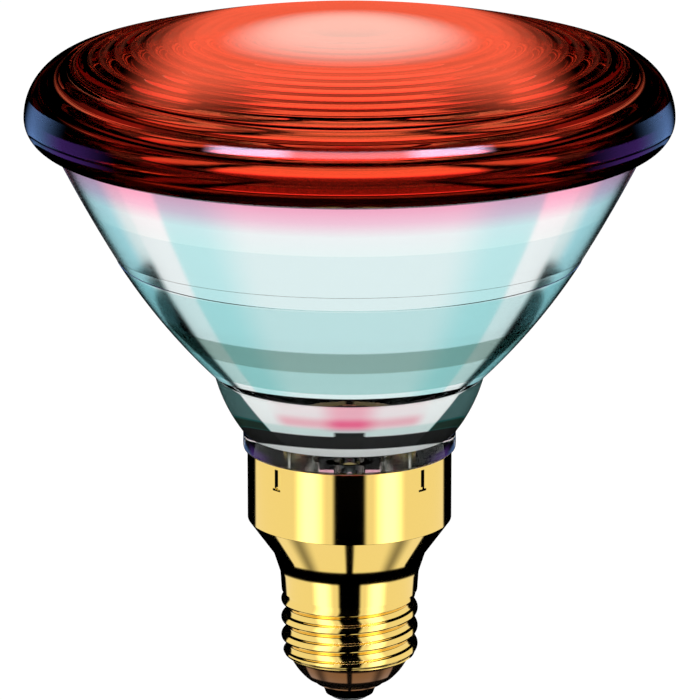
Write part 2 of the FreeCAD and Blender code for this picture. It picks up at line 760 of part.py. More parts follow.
def make_side_solder():
    """The joint that holds the side wire on the inside of the shell."""
    joint_z = shell_z + cell.side_wire_rise
    drop = doc.addObject("Part::Sphere", "solder_drop")
    set_size(drop, "Radius", cell.solder_radius)
    set_size(drop, "Placement.Base.x", shell_bore)
    set_size(drop, "Placement.Base.z", joint_z)
    inside = doc.addObject("Part::Cylinder", "shell_inside")
    set_size(inside, "Radius", shell_bore)
    set_size(inside, "Height", cell.solder_radius * 2)
    set_size(inside, "Placement.Base.z", joint_z - cell.solder_radius)
    drop_inside = doc.addObject("Part::Common", "drop_inside")
    drop_inside.Base = drop
    drop_inside.Tool = inside
    wire_way = doc.addObject("Part::Cylinder", "wire_way")
    set_size(wire_way, "Radius", cell.wire_radius)
    set_size(wire_way, "Height", cell.solder_radius * 2)
    set_size(wire_way, "Placement.Base.x", shell_bore - cell.wire_gap - cell.wire_radius)
    set_size(wire_way, "Placement.Base.z", joint_z - cell.solder_radius)
    joint = doc.addObject("Part::Cut", "side_solder")
    joint.Label = "side_solder"
    joint.Base = drop_inside
    joint.Tool = wire_way


make_lens()
make_reflector()
make_exhaust_tube()
make_cap_skirt()
make_screw_shell()
make_insulator()
make_contact()
for name, side in (("left", -1), ("right", 1)):
    make_ferrule(name, ferrule_x if side > 0 else -ferrule_x)
    make_post(name, side)
make_filament()
make_bead()
make_support()
make_wires()
make_side_solder()
doc.recompute()

NODES = [
    "lens",
    "reflector",
    "exhaust_tube",
    "cap_skirt",
    "screw_shell",
    "insulator",
    "contact_plate",
    "tip_solder",
    "ferrule_left",
    "ferrule_right",
    "braze_left",
    "braze_right",
    "lead_post_left",
    "lead_post_right",
    "filament",
    "support_bead",
    "filament_support",
    "centre_wire",
    "side_wire",
    "side_solder",
]

for item in doc.Objects:
    if "Invalid" in item.State or "Error" in item.State:
        raise RuntimeError(f"{item.Label} did not compute: {item.State}")
by_label = {item.Label: item for item in doc.Objects}
for label in NODES:
    shape = by_label[label].Shape
    if shape.isNull() or not shape.isValid() or shape.Volume <= 0:
        raise RuntimeError(f"{label} has no valid shape")

os.makedirs("parts", exist_ok=True)
for label in NODES:
    shape = by_label[label].Shape
    shape.exportStep(f"parts/{label}.step")
    box = shape.BoundBox
    print(f"{label}: {len(shape.Solids)} solid, {shape.Volume:.1f} mm3, z {box.ZMin:.2f} to {box.ZMax:.2f}")
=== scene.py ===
# %% [markdown]
# An infrared heat lamp is a pressed-glass bulb: a ruby lens on a clear bowl whose inside is a mirror,
# held in a drawn brass cap with a screw thread. Nearly all of it is glass or polished metal, so what
# the eye sees is mostly the room around it. This lesson makes the finishes first, then the smooth
# pieces that carry them, and last the studio that they mirror.
#
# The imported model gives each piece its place. Its faces are fine for fitting but too coarse for glass
# and polished brass, where every flat facet shows, so the turned pieces are made again here, on the
# same sizes, with many more steps round the axis.

import math

import bmesh
import bpy
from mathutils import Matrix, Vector


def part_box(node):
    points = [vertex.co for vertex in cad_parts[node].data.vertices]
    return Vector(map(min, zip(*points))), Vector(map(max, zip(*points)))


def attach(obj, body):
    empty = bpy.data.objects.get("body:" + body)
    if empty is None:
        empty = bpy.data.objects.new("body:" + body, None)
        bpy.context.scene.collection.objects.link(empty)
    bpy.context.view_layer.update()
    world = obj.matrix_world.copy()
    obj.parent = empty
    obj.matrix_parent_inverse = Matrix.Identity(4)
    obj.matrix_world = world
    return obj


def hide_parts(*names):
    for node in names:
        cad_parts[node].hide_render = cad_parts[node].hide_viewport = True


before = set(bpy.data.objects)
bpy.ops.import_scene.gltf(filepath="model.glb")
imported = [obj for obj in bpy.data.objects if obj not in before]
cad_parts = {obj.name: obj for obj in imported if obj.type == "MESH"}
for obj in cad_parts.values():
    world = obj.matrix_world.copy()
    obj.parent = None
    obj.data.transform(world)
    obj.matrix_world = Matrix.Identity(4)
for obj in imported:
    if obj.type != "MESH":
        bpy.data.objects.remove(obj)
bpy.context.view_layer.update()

# %% [markdown]
# Lengths below are in millimetres, as on a drawing, and MM turns them into Blender's metres. Heights
# that the model already knows are read from the boxes of its nodes.

# %% Units and the heights of the stack
MM = 0.001
TURNS = 256
DEGREES = 180 / math.pi
CHANNELS = ("Red", "Green", "Blue")


def top_of(node):
    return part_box(node)[1].z / MM


def foot_of(node):
    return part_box(node)[0].z / MM


glass_z = foot_of("insulator")
plate_z = foot_of("contact_plate")
collar_z = foot_of("cap_skirt")
skirt_top = top_of("cap_skirt")
seam_z = top_of("reflector")
neck_foot = foot_of("reflector")
print("collar", round(collar_z, 2), "skirt top", round(skirt_top, 2), "seam", round(seam_z, 2))

# %% [markdown]
# Most pieces here are turned on one axis. An outline is a list of points (radius, height, finish),
# where the finish belongs to the face that leaves the point. Turning it in code, instead of with a
# Screw modifier, lets one closed glass body carry several finishes: clear outside, mirrored inside.

# %% Turn an outline into a closed mesh
LEFT, RIGHT = 1, -1


def arc(start, end, radius, side, steps, finish=0):
    """Points on the short arc from start to end, without its last, with its centre to that side."""
    p = Vector(start)
    q = Vector(end)
    chord = q - p
    left = Vector((-chord.y, chord.x)).normalized()
    centre = (p + q) / 2 + left * side * math.sqrt(radius**2 - (chord.length / 2) ** 2)
    first = math.atan2(p.y - centre.y, p.x - centre.x)
    sweep = 2 * math.asin(chord.length / 2 / radius) * side
    turned_by = [first + sweep * k / steps for k in range(steps)]
    return [
        (centre.x + radius * math.cos(a), centre.y + radius * math.sin(a), finish) for a in turned_by
    ]


def straight(first, last, steps, finish=0):
    """Points along a straight stretch, without its last."""
    radius, height = first
    run, climb = last[0] - radius, last[1] - height
    return [(radius + run * k / steps, height + climb * k / steps, finish) for k in range(steps)]


def round_the_axis(radius, height, k, turns):
    """Point k of a ring of so many points, in metres."""
    angle = 2 * math.pi * k / turns
    return (radius * MM * math.cos(angle), radius * MM * math.sin(angle), height * MM)


def new_piece(name, mesh, finishes, smooth_below=35):
    """Put a mesh into the scene with its finishes, smooth except at edges sharper than the angle."""
    work = bmesh.new()
    work.from_mesh(mesh)
    bmesh.ops.remove_doubles(work, verts=work.verts, dist=0.001 * MM)
    bmesh.ops.recalc_face_normals(work, faces=work.faces)
    work.to_mesh(mesh)
    work.free()
    mesh.shade_smooth()
    mesh.set_sharp_from_angle(angle=math.radians(smooth_below))
    for material in finishes:
        mesh.materials.append(material)
    piece = bpy.data.objects.new(name, mesh)
    bpy.context.scene.collection.objects.link(piece)
    return piece


def turned_mesh(name, outline):
    """Turn a closed outline once round the lamp's axis."""
    points = []
    rings = []
    for radius, height, _ in outline:
        if radius < 1e-6:
            rings.append([len(points)])
            points.append((0, 0, height * MM))
            continue
        rings.append(range(len(points), len(points) + TURNS))
        points += [round_the_axis(radius, height, k, TURNS) for k in range(TURNS)]
    faces = []
    marks = []
    for index, low in enumerate(rings):
        high = rings[(index + 1) % len(rings)]
        if len(low) == len(high) == 1:
            continue
        for k in range(TURNS):
            after = (k + 1) % TURNS
            corners = [low[k % len(low)], low[after % len(low)]]
            corners += [high[after % len(high)], high[k % len(high)]]
            faces.append(list(dict.fromkeys(corners)))
            marks.append(outline[index][2])
    mesh = bpy.data.meshes.new(name)
    mesh.from_pydata(points, [], faces)
    mesh.polygons.foreach_set("material_index", marks)
    return mesh


def turned(name, outline, *finishes, smooth_below=35):
    piece = new_piece(name, turned_mesh(name, outline), finishes, smooth_below)
    print(name, len(piece.data.polygons), "faces")
    return piece


# %% [markdown]
# Finishes come next, because every piece names one as it is made. Glass is a Principled surface with
# full transmission and no roughness, and a faint bump keeps the pressed surface from looking like a
# computer's idea of glass. Metals and coats get a noise in their roughness instead.

# %% Helpers for finishes


def shader_of(material):
    return material.node_tree.nodes["Principled BSDF"]


def finish(name, colour, roughness=0.3, metal=0.0, clear=0.0, ior=1.5):
    """A plain Principled finish, to which the helpers below add detail."""
    material = bpy.data.materials.new(name)
    material.use_nodes = True
    shader = shader_of(material)
    shader.inputs["Base Color"].default_value = (*colour, 1)
    shader.inputs["Roughness"].default_value = roughness
    shader.inputs["Metallic"].default_value = metal
    shader.inputs["Transmission Weight"].default_value = clear
    shader.inputs["IOR"].default_value = ior
    return material


def add_node(material, kind, **sockets):
    """A node with its inputs set by name, a space in a name written as an underscore."""
    node = material.node_tree.nodes.new(kind)
    for socket, value in sockets.items():
        node.inputs[socket.replace("_", " ")].default_value = value
    return node


def object_noise(material, scale, detail=3.0, stretch=(1, 1, 1)):
    """Noise in the piece's own space, stretched along an axis where the finish is drawn."""
    link = material.node_tree.links.new
    place = material.node_tree.nodes.new("ShaderNodeTexCoord")
    fit = add_node(material, "ShaderNodeMapping", Scale=stretch)
    noise = add_node(material, "ShaderNodeTexNoise", Scale=scale, Detail=detail)
    link(place.outputs["Object"], fit.inputs["Vector"])
    link(fit.outputs["Vector"], noise.inputs["Vector"])
    return noise


def vary_roughness(material, noise, low, high):
    link = material.node_tree.links.new
    spread = add_node(material, "ShaderNodeMapRange", To_Min=low, To_Max=high)
    link(noise.outputs["Fac"], spread.inputs["Value"])
    link(spread.outputs["Result"], shader_of(material).inputs["Roughness"])


def add_bump(material, noise, strength, distance):
    link = material.node_tree.links.new
    bump = add_node(material, "ShaderNodeBump", Strength=strength, Distance=distance * MM)
    link(noise.outputs["Fac"], bump.inputs["Height"])
    link(bump.outputs["Normal"], shader_of(material).inputs["Normal"])


# %% [markdown]
# Some colours and the whole studio follow a place or a direction. A Field is a number in a node tree,
# so that such patterns can be written as plain sums and products of soft steps.

# %% Numbers in a node tree
NO_LIMIT = 999


class Field:
    """A socket of a shader tree, with arithmetic and soft steps that make the nodes for them."""

    def __init__(self, tree, socket):
        self.tree = tree
        self.socket = socket

    def maths(self, operation, *others):
        node = self.tree.nodes.new("ShaderNodeMath")
        node.operation = operation
        for slot, value in zip(node.inputs, (self, *others)):
            if isinstance(value, Field):
                self.tree.links.new(value.socket, slot)
            else:
                slot.default_value = value
        return Field(self.tree, node.outputs["Value"])

    def __add__(self, other):
        return self.maths("ADD", other)

    def __sub__(self, other):
        return self.maths("SUBTRACT", other)

    def __mul__(self, other):
        return self.maths("MULTIPLY", other)

    def above(self, edge, soft):
        """1 above the edge, a number or a Field, and 0 below it, with a change that is soft wide."""
        node = self.tree.nodes.new("ShaderNodeMapRange")
        node.interpolation_type = "SMOOTHSTEP"
        node.inputs["From Min"].default_value = -soft / 2
        node.inputs["From Max"].default_value = soft / 2
        self.tree.links.new((self - edge).socket, node.inputs["Value"])
        return Field(self.tree, node.outputs["Result"])

    def below(self, edge, soft):
        return self.above(edge, soft) * -1 + 1

    def within(self, low, high, soft):
        return self.above(low, soft) * self.below(high, soft)


def coordinates(tree, vector):
    """The three parts of a vector socket as Fields."""
    split = tree.nodes.new("ShaderNodeSeparateXYZ")
    tree.links.new(vector, split.inputs["Vector"])
    return [Field(tree, split.outputs[axis]) for axis in "XYZ"]


def angles(tree, vector):
    """Degrees round from the front, and degrees up, of a direction; the two sides count alike."""
    x, y, z = coordinates(tree, vector)
    return x.maths("ABSOLUTE").maths("ARCTAN2", y * -1) * DEGREES, z.maths("ARCSINE") * DEGREES


def patches(first, second, *table):
    """The sum of patches, each with a range (low, high, soft) of both Fields and a strength."""
    total = None
    for first_range, second_range, strength in table:
        patch = first.within(*first_range) * second.within(*second_range) * strength
        total = patch if total is None else total + patch
    return total


# %% [markdown]
# Ruby glass is dark because light is taken away inside it, which a volume shader does. Rings of
# painted shade, placed by height, darken the rolled rim. The mirror coat is coloured by height too:
# each band of the bowl has its own painted reflection, lighter or darker, and under the lens the coat
# has painted pink light, where red light falls on it.

# %% The glasses and the mirror coat
GLASS_IOR = 1.48
RUBY_TINT = (0.97, 0.42, 0.30)
# The dark colour of the painted shade rings on the rim.
RUBY_PAINTED_SHADE = (0.04, 0.002, 0.002)
RUBY_ABSORBS = (0.96, 0.30, 0.06)
RUBY_DENSITY = 110
# Colours by height: the ruby's own tint, and darker rings of painted shade on the rim.
RUBY_TINT_AND_PAINTED_SHADE = [
    (110.8, RUBY_PAINTED_SHADE),
    (113.6, (0.90, 0.30, 0.22)),
    (114.3, RUBY_PAINTED_SHADE),
    (115.7, RUBY_TINT),
    (119.1, (0.05, 0.002, 0.002)),
    (119.8, RUBY_TINT),
    (134.0, RUBY_TINT),
]
# Painted reflections by height: a lighter or darker shade for each band of the bowl, then painted pink
# light under the lens.
MIRROR_PAINTED_LIGHT = [
    (64.4, (0.85, 0.98, 0.98)),
    (69.3, (0.45, 0.68, 0.67)),
    (74.5, (0.28, 0.43, 0.40)),
    (79.2, (0.58, 0.80, 0.81)),
    (88.7, (0.82, 0.92, 0.93)),
    (100.6, (0.92, 0.98, 0.98)),
    (104.5, (0.96, 0.95, 0.97)),
    (107.5, (1.0, 0.60, 0.75)),
    (111.0, (1.0, 0.40, 0.58)),
]
STEP_EDGE = 0.15


def colour_by_height(material, stops, smooth_from=NO_LIMIT):
    """Colour the surface by its height in millimetres, in crisp steps, blended from a height up."""
    tree = material.node_tree
    _, _, rise = coordinates(tree, tree.nodes.new("ShaderNodeTexCoord").outputs["Object"])
    low, high = stops[0][0], stops[-1][0]
    scale = add_node(material, "ShaderNodeMapRange", From_Min=low * MM, From_Max=high * MM)
    steps = tree.nodes.new("ShaderNodeValToRGB")
    tree.links.new(rise.socket, scale.inputs["Value"])
    tree.links.new(scale.outputs["Result"], steps.inputs["Fac"])
    ramp = steps.color_ramp
    points = [stops[0]]
    for (_, before), (height, colour) in zip(stops, stops[1:]):
        if height < smooth_from:
            points.append((height - STEP_EDGE, before))
        points.append((height, colour))
    while len(ramp.elements) < len(points):
        ramp.elements.new(1.0)
    for element, (height, colour) in zip(ramp.elements, points):
        element.position = (height - low) / (high - low)
        element.color = (*colour, 1)
    tree.links.new(steps.outputs["Color"], shader_of(material).inputs["Base Color"])


ruby = finish("ruby_glass", RUBY_TINT, roughness=0.0, clear=1.0, ior=GLASS_IOR)
add_bump(ruby, object_noise(ruby, scale=60), strength=0.05, distance=0.05)
# The ruby's tint, with rings of painted shade on the rim, by height.
colour_by_height(ruby, RUBY_TINT_AND_PAINTED_SHADE)
ruby_depth = add_node(
    ruby, "ShaderNodeVolumeAbsorption", Color=(*RUBY_ABSORBS, 1), Density=RUBY_DENSITY
)
ruby_out = ruby.node_tree.nodes["Material Output"]
ruby.node_tree.links.new(ruby_depth.outputs["Volume"], ruby_out.inputs["Volume"])

clear = finish("clear_glass", (0.93, 0.985, 0.98), roughness=0.0, clear=1.0, ior=GLASS_IOR)
add_bump(clear, object_noise(clear, scale=45), strength=0.06, distance=0.08)

coat = finish("mirror_coat", (0.90, 0.93, 0.93), roughness=0.08, metal=1.0)
vary_roughness(coat, object_noise(coat, scale=150), low=0.03, high=0.07)
# The coat's colour by height is painted reflection and painted red light.
colour_by_height(coat, MIRROR_PAINTED_LIGHT, smooth_from=104.5)

black_glass = finish("black_glass", (0.008, 0.006, 0.005), roughness=0.06, ior=2.0)
shader_of(black_glass).inputs["Specular IOR Level"].default_value = 1.0
shader_of(black_glass).inputs["Specular Tint"].default_value = (1.0, 0.42, 0.12, 1)
vary_roughness(black_glass, object_noise(black_glass, scale=200), low=0.04, high=0.10)
print("glasses:", [m.name for m in bpy.data.materials])

# %% [markdown]
# The well under the mirror has a dull coat of its own, and its colours are painted light and shade.
# Its marks are soft patches by height in millimetres, and by how many degrees round from the front or
# the back they reach. Each range is (low, high, soft). Every mark takes some red, green and blue from
# the pale coat: a teal ring of painted reflection, a blush of painted red light in two strengths and
# its core. The side walls of painted shade start higher up the further round they lie, and rings of
# painted shade, one with the mark of the sealed tube, shade the sum.

# %% The coat of the well, painted with light and shade
ALL_ROUND = (-NO_LIMIT, NO_LIMIT, 1)
WELL_PALE = 0.97
WELL_BLACK = 0.02
# Patches of painted light: a teal ring of painted reflection, then the pink blush of painted red light
# and its core.
WELL_PAINTED_LIGHT = [
    ((59.0, 60.4, 0.6), ALL_ROUND, (-0.22, -0.10, -0.11)),
    ((60.6, 62.2, 1.6), (-NO_LIMIT, 46, 12), (0.0, -0.33, -0.27)),
    ((60.6, 65.5, 1.0), (-NO_LIMIT, 46, 16), (0.0, -0.12, -0.099)),
    ((60.0, NO_LIMIT, 1.0), (-NO_LIMIT, 13, 16), (0.0, -0.36, -0.28)),
]
# How much the side walls of painted shade take from the pale coat.
WALL_PAINTED_SHADE = (-0.90, -0.83, -0.83)
WALL_FOOT = 57.0
WALL_SLOPE = 2.3
WALL_START = 76.4
DARK_SHARE = 0.97
# Rings of painted shade, one where the sealed tube shows.
PAINTED_SHADE_RINGS = [
    ((-NO_LIMIT, 54.4, 0.3), ALL_ROUND, 1.0),
    ((56.6, 59.0, 0.25), ALL_ROUND, 1.0),
    ((57.4, 59.8, 0.3), (-NO_LIMIT, 10, 3), 1.0),
    ((65.5, NO_LIMIT, 0.3), ALL_ROUND, 1.0),
]

# The well's colours below are all painted light and shade.
painted_well_coat = finish("painted_well_coat", (0.95, 0.80, 0.82), roughness=0.55)
shader_of(painted_well_coat).inputs["Specular IOR Level"].default_value = 0.0
vary_roughness(painted_well_coat, object_noise(painted_well_coat, scale=120), low=0.45, high=0.65)
well_tree = painted_well_coat.node_tree
well_place = well_tree.nodes.new("ShaderNodeTexCoord").outputs["Object"]
well_x, well_y, well_z = coordinates(well_tree, well_place)
rise = well_z * (1 / MM)
off_middle = well_x.maths("ABSOLUTE").maths("ARCTAN2", well_y.maths("ABSOLUTE")) * DEGREES

# The side walls of painted shade.
wall = off_middle.above(rise * WALL_SLOPE - WALL_START, 3) * rise.above(WALL_FOOT, 1.0)
marks = [
    (patches(rise, off_middle, (heights, reach, 1.0)), change) for heights, reach, change in WELL_PAINTED_LIGHT
]
shade = patches(rise, off_middle, *PAINTED_SHADE_RINGS).maths("MINIMUM", 1.0) * -DARK_SHARE + 1
painted_well_colour = well_tree.nodes.new("ShaderNodeCombineColor")
for index, channel in enumerate(CHANNELS):
    level = wall * WALL_PAINTED_SHADE[index]
    for mark, change in marks:
        level += mark * change[index]
    level = ((level + WELL_PALE) * shade).maths("MAXIMUM", WELL_BLACK)
    well_tree.links.new(level.socket, painted_well_colour.inputs[channel])
well_tree.links.new(painted_well_colour.outputs["Color"], shader_of(painted_well_coat).inputs["Base Color"])
print("well coat nodes:", len(well_tree.nodes))

# %% The metals
brass = finish("brass", (0.95, 0.68, 0.19), roughness=0.06, metal=1.0)
vary_roughness(brass, object_noise(brass, scale=90, stretch=(1, 1, 6)), low=0.045, high=0.085)

solder = finish("solder", (0.62, 0.63, 0.65), roughness=0.35, metal=1.0)
solder_noise = object_noise(solder, scale=900)
vary_roughness(solder, solder_noise, low=0.25, high=0.5)
add_bump(solder, solder_noise, strength=0.3, distance=0.05)

nickel = finish("nickel", (0.72, 0.69, 0.63), roughness=0.2, metal=1.0)
vary_roughness(nickel, object_noise(nickel, scale=400, stretch=(1, 1, 0.1)), low=0.12, high=0.3)

tungsten = finish("tungsten", (0.20, 0.20, 0.21), roughness=0.4, metal=1.0)
vary_roughness(tungsten, object_noise(tungsten, scale=2000), low=0.3, high=0.5)

copper = finish("copper", (0.85, 0.45, 0.28), roughness=0.25, metal=1.0)
vary_roughness(copper, object_noise(copper, scale=500), low=0.15, high=0.35)
print("finishes:", [m.name for m in bpy.data.materials])

# %% [markdown]
# The lens is one pressing of ruby glass. Outside it is smooth: a shallow dome, a round shoulder and a
# rolled lip. Inside, concentric convex rings spread the light, with a sharp groove between each pair,
# and those grooves are the thin dark circles that show through the red.

# %% The lens
LENS_RADIUS = 61.1
LENS_EDGE = 57.8
LIP = 5.0
CORNER = 10.8
DOME = 192.7
LENS_WALL = 4.2
RIM_BORE = 52.9
RIM_DRAFT = 0.4
FILLET = 5.0
BEVEL_RADIUS = FILLET * 1.2
BEVEL_STEPS = 40
BORE_STEPS = 32
RING_PITCH = 3.0
RING_INNER = 11.5
RING_DEPTH = 0.08
RING_STEPS = 16
RIM_RING_PITCH = 2.1
RIM_RING_DEPTH = 0.5
BORE_RING_PITCH = 2.9
BORE_RING_DEPTH = 0.45
INNER_RING_SHARE = 0.25
CENTRE_SPOT = 9.0

widest_z = seam_z + math.sqrt(LIP**2 - (LIP - LENS_RADIUS + LENS_EDGE) ** 2)
slope = DOME - CORNER
dome_z = widest_z - math.sqrt(slope**2 - (LENS_RADIUS - CORNER) ** 2)
crown = (0.0, dome_z + DOME)
corner_start = ((LENS_RADIUS - CORNER) * DOME / slope, dome_z + (widest_z - dome_z) * DOME / slope)


def inner_dome(radius):
    return dome_z + math.sqrt((DOME - LENS_WALL) ** 2 - radius**2)


def ringed(path, pitch, depth):
    """Cut a sharp groove into a path of (radius, height) at each pitch of its length.

    The ridges between the grooves are round, and they grow shallower towards the lens's middle.
    """
    cut = []
    length = 0.0
    for index, (radius, height) in enumerate(path):
        after = path[min(index + 1, len(path) - 1)]
        before = path[max(index - 1, 0)]
        along = Vector((after[0] - before[0], after[1] - before[1])).normalized()
        if index:
            length += math.dist(before, (radius, height))
        share = length / pitch
        share = abs(share - round(share))
        inward = depth * (1 - math.cos(math.pi * share))
        inward *= max(INNER_RING_SHARE, (radius - RING_INNER) / (RIM_BORE - RING_INNER))
        cut.append((radius + along.y * inward, height - along.x * inward, 0))
    return cut


rim_top = RIM_BORE - RIM_DRAFT
fillet_foot = rim_top - FILLET
fillet_end = (fillet_foot, inner_dome(fillet_foot))
fillet_start = (rim_top, inner_dome(rim_top) - FILLET)
bore = straight((RIM_BORE, seam_z), fillet_start, BORE_STEPS) + [fillet_start]
bevel = arc(fillet_start, fillet_end, BEVEL_RADIUS, LEFT, BEVEL_STEPS) + [fillet_end]
ring_rows = round((fillet_foot - RING_INNER) * RING_STEPS / RING_PITCH)
front = [fillet_foot - k * RING_PITCH / RING_STEPS for k in range(ring_rows + 1)]
lens_outline = [(*crown, 0)]
lens_outline += arc(crown, corner_start, DOME, RIGHT, 48)[1:]
lens_outline += arc(corner_start, (LENS_RADIUS, widest_z), CORNER, RIGHT, 32)
lens_outline += arc((LENS_RADIUS, widest_z), (LENS_EDGE, seam_z), LIP, RIGHT, 16)
lens_outline += [(LENS_EDGE, seam_z, 0)]
lens_outline += ringed([point[:2] for point in bore], BORE_RING_PITCH, BORE_RING_DEPTH)[:-1]
lens_outline += ringed([point[:2] for point in bevel], RIM_RING_PITCH, RIM_RING_DEPTH)[:-1]
lens_outline += ringed([(r, inner_dome(r)) for r in front], RING_PITCH, RING_DEPTH)
lens_outline += [(CENTRE_SPOT, inner_dome(CENTRE_SPOT), 0), (0.0, inner_dome(CENTRE_SPOT), 0)]
lens = turned("lens_glass", lens_outline, ruby, smooth_below=50)

# %% [markdown]
# The bowl is a second pressing, in clear glass. Its inside is a paraboloid cut into four bands, coated
# with aluminium, and a well below it with the dull coat. The neck and the outside stay clear. The same
# closed mesh has all three finishes, so a ray that enters from outside meets the glass first and the
# coat behind it.

# %% The bowl
SHOULDER = 20.3
SHOULDER_HEIGHT = 3.7
SHOULDER_ROUND = 0.6
NECK_HEIGHT = 11.2
NECK_BULGE = 30.0
CREASE = 25.75
LOWER_HEIGHT = 23.2
LOWER_BOW = 121.0
LEDGE = 44.25
LEDGE_WIDTH = 0.17
LEDGE_DROP = 0.15
FLANK_INSET = 0.16
UPPER_BOW = 280.0
SEAM_RADIUS = 56.0
NECK_RADIUS = 18.95
NECK_BORE = 15.2
NECK_CHAMFER = 0.8
FLOOR_DROP = 1.1
FLOOR_HEIGHT = 3.9
FOCAL = 12.35
VERTEX_RISE = 0.95
WELL_MOUTH = 17.5
WELL_FLOOR = 9.7
WELL_CORNER = 1.3
WELL_ROUND = WELL_CORNER * 1.3
MIRROR_FOOT_RISE = 0.9
WELL_DROP = 1.9
BAND_ONE_RISE = 13.7
BAND_THREE_RISE = 11.9
TUBE_BORE = 2.0
TUBE_ROUND = 0.4
GLASS, COAT, WELL = 0, 1, 2

shoulder_z = skirt_top + SHOULDER_HEIGHT
crease_z = shoulder_z + NECK_HEIGHT
ledge_z = crease_z + LOWER_HEIGHT
vertex_z = shoulder_z + VERTEX_RISE
floor_under = skirt_top - FLOOR_DROP
floor_z = floor_under + FLOOR_HEIGHT
mirror_foot = crease_z + MIRROR_FOOT_RISE
well_mouth = mirror_foot - WELL_DROP
shoulder_in = SHOULDER - SHOULDER_ROUND
tube_mouth = (TUBE_BORE + TUBE_ROUND, floor_z)
well_corner = (WELL_FLOOR + WELL_CORNER, floor_z + WELL_CORNER)


def mirror_point(height, mark=COAT):
    return (math.sqrt(4 * FOCAL * (height - vertex_z)), height, mark)


band_heights = [mirror_foot, crease_z + BAND_ONE_RISE, ledge_z, ledge_z + BAND_THREE_RISE]
bowl = arc((SEAM_RADIUS, seam_z), (LEDGE - LEDGE_WIDTH, ledge_z), UPPER_BOW, RIGHT, 16)
bowl += [(LEDGE - LEDGE_WIDTH, ledge_z, GLASS)]
bowl += arc((LEDGE - FLANK_INSET, ledge_z - LEDGE_DROP), (CREASE, crease_z), LOWER_BOW, RIGHT, 24)
bowl += arc((CREASE, crease_z), (SHOULDER, shoulder_z), NECK_BULGE, RIGHT, 20)
bowl += [(SHOULDER, shoulder_z, GLASS)]
bowl += arc(
    (SHOULDER, skirt_top + SHOULDER_ROUND), (shoulder_in, skirt_top), SHOULDER_ROUND, RIGHT, 6
)
bowl += [(shoulder_in, skirt_top, GLASS), (NECK_RADIUS, skirt_top, GLASS)]
bowl += [(NECK_RADIUS, neck_foot + NECK_CHAMFER, GLASS)]
bowl += [(NECK_RADIUS - NECK_CHAMFER, neck_foot, GLASS), (NECK_BORE, neck_foot, GLASS)]
bowl += [(NECK_BORE, floor_under, GLASS), (TUBE_BORE, floor_under, GLASS)]
bowl += arc((TUBE_BORE, floor_z - TUBE_ROUND), tube_mouth, TUBE_ROUND, RIGHT, 4)
bowl += [(*tube_mouth, WELL)]
bowl += arc((WELL_FLOOR, floor_z), well_corner, WELL_ROUND, LEFT, 6, WELL)
bowl += straight(well_corner, (WELL_MOUTH, well_mouth), 4, WELL)
bowl += [(WELL_MOUTH, well_mouth, WELL)]
bowl += [mirror_point(height) for height in band_heights]
bowl += [mirror_point(seam_z, GLASS)]
reflector = turned("bowl_glass", bowl, clear, coat, painted_well_coat, smooth_below=30)

# %% [markdown]
# The skirt of the cap is drawn brass, half a millimetre thick: collar, cone and sleeve, with a soft
# bend at each change. Four slots are lanced under its top edge, where the metal grips the glass. Slots
# repeat round a circle, so Geometry Nodes cut them: one cutter is instanced on the points of a circle,
# and a boolean takes them all away at once.

# %% The skirt before its slots
WALL = 0.5
COLLAR = 13.05
COLLAR_FLARE = 0.25
COLLAR_HEIGHT = 5.9
COLLAR_ROUND = 7.0
CONE_HEIGHT = 8.6
SKIRT = 19.5
SKIRT_ROUND = 0.3
EDGE_ROLL = 0.35
ROLL_MIDDLE = 0.3
ROLL_TOP = 0.6

cone_z = collar_z + COLLAR_HEIGHT
skirt_z = cone_z + CONE_HEIGHT
collar_top = COLLAR + COLLAR_FLARE
run = SKIRT - collar_top
slant = math.hypot(run, CONE_HEIGHT)
half_turn = run / (slant + CONE_HEIGHT)


def skirt_side(inset):
    """One side of the wall from the collar to the top edge, moved inwards by the inset."""
    shift = inset * half_turn
    low = (COLLAR_ROUND + inset) * half_turn
    high = SKIRT_ROUND * half_turn
    bend_z = cone_z + shift
    edge_z = skirt_z + shift
    after_low = (collar_top - inset + run * low / slant, bend_z + CONE_HEIGHT * low / slant)
    before_high = (SKIRT - inset - run * high / slant, edge_z - CONE_HEIGHT * high / slant)
    side = [(COLLAR - inset, collar_z, 0), (collar_top - inset, bend_z - low, 0), (*after_low, 0)]
    side += arc(before_high, (SKIRT - inset, edge_z + high), SKIRT_ROUND, LEFT, 4)
    side += [(SKIRT - inset, edge_z + high, 0), (SKIRT - inset, skirt_top - EDGE_ROLL, 0)]
    return side


top_edge = [(SKIRT - EDGE_ROLL * ROLL_MIDDLE, skirt_top - EDGE_ROLL * ROLL_MIDDLE, 0)]
top_edge += [(SKIRT - WALL * ROLL_TOP, skirt_top, 0)]
skirt_outline = skirt_side(0) + top_edge + skirt_side(WALL)[::-1]
skirt = turned("skirt_blank", skirt_outline, brass, smooth_below=12)

# %% A tree that cuts the slots
SLOT_COUNT = 4
SLOT_WIDTH = 0.9
SLOT_LENGTH = 4.2
SLOT_FOOT = 2.0
SLOT_DROP = 0.7
CUTTER_DEPTH = 4.0
FIRST_SLOT = math.radians(45)


def new_tree(name, **sizes):
    """A Geometry Nodes tree with geometry in and out and a named input for each size."""
    tree = bpy.data.node_groups.new(name, "GeometryNodeTree")
    tree.interface.new_socket("Geometry", in_out="INPUT", socket_type="NodeSocketGeometry")
    tree.interface.new_socket("Geometry", in_out="OUTPUT", socket_type="NodeSocketGeometry")
    for size, value in sizes.items():
        kind = "NodeSocketInt" if isinstance(value, int) else "NodeSocketFloat"
        socket = tree.interface.new_socket(size, in_out="INPUT", socket_type=kind)
        socket.default_value = value
    return tree, tree.nodes.new("NodeGroupInput"), tree.nodes.new("NodeGroupOutput")


